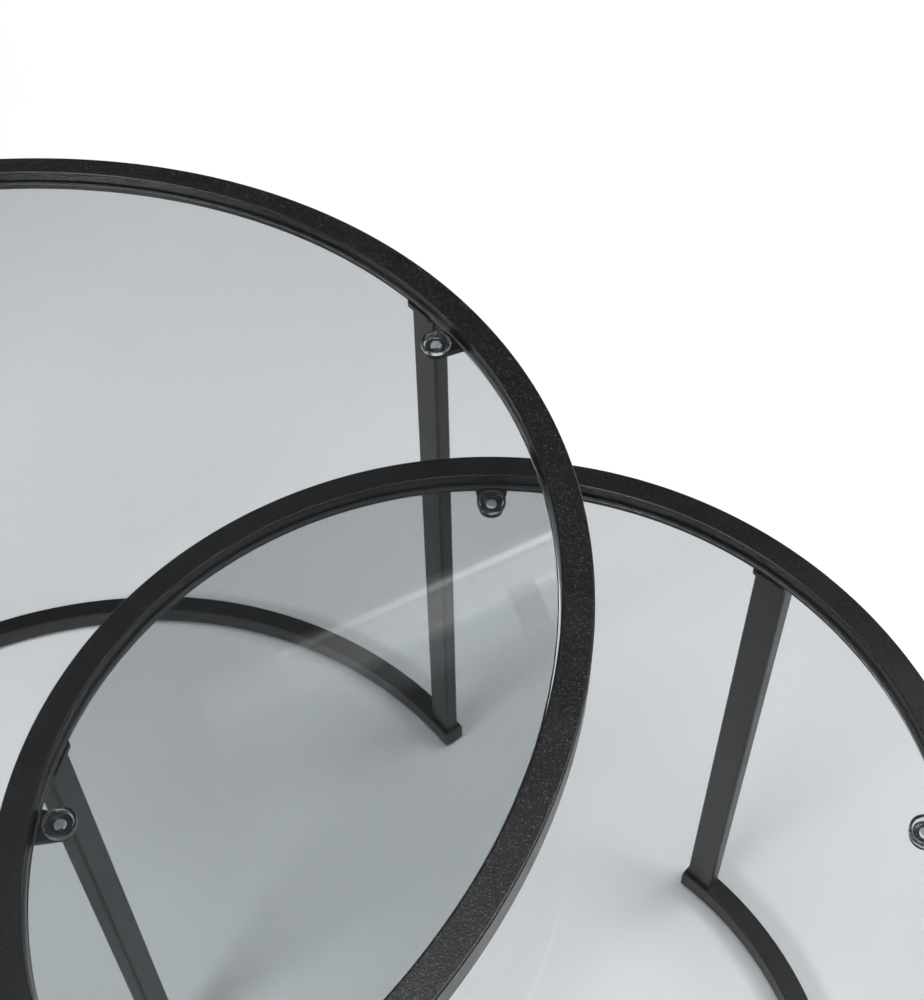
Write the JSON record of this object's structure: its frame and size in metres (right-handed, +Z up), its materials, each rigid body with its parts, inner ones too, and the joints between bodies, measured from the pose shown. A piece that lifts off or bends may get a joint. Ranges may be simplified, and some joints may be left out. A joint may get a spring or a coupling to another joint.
{
  "type": "nesting tables",
  "caption": "Two round nesting side tables with black tube frames, open-sided ring bases and inset grey glass tops; the low one slides under the tall one.",
  "frame": {"origin": "on the floor, midway along the pair's length and width", "axes": "+Z up; +X from the tall table's middle to the low table's middle, along which the low table slides; +Y to the side where the tall table's first front leg stands"},
  "size_m": [0.84, 0.65, 0.455],
  "materials": {
    "powder_black": "satin black powder coat with a fine sandy grain",
    "tinted_glass": "light grey tempered glass, finely ground edge",
    "clear_pad": "clear soft plastic",
    "black_plastic": "moulded black plastic",
    "zinc_steel": "zinc-plated steel"
  },
  "bodies": {
    "large_table": {"large_top_ring": "powder_black", "large_leg_plates": "powder_black", "large_pad_tongues": "powder_black", "large_glass_pads": "clear_pad", "large_glass_top": "tinted_glass", "large_base_arc": "powder_black", "large_base_end_caps": "black_plastic", "large_feet": "black_plastic", "large_leg_inserts": "zinc_steel", "large_base_screws": "zinc_steel", "large_leg_front_a": "powder_black", "large_leg_front_b": "powder_black", "large_leg_back": "powder_black"},
    "small_table": {"small_top_ring": "powder_black", "small_leg_plates": "powder_black", "small_pad_tongues": "powder_black", "small_glass_pads": "clear_pad", "small_glass_top": "tinted_glass", "small_base_arc": "powder_black", "small_base_end_caps": "black_plastic", "small_feet": "black_plastic", "small_leg_inserts": "zinc_steel", "small_base_screws": "zinc_steel", "small_leg_front_a": "powder_black", "small_leg_front_b": "powder_black", "small_leg_back": "powder_black"}
  },
  "joints": [
    {"name": "small_table_slide", "type": "slide", "parent": "large_table", "child": "small_table", "axis": [1, 0, 0], "range_m": [-0.29, 0.28]}
  ]
}
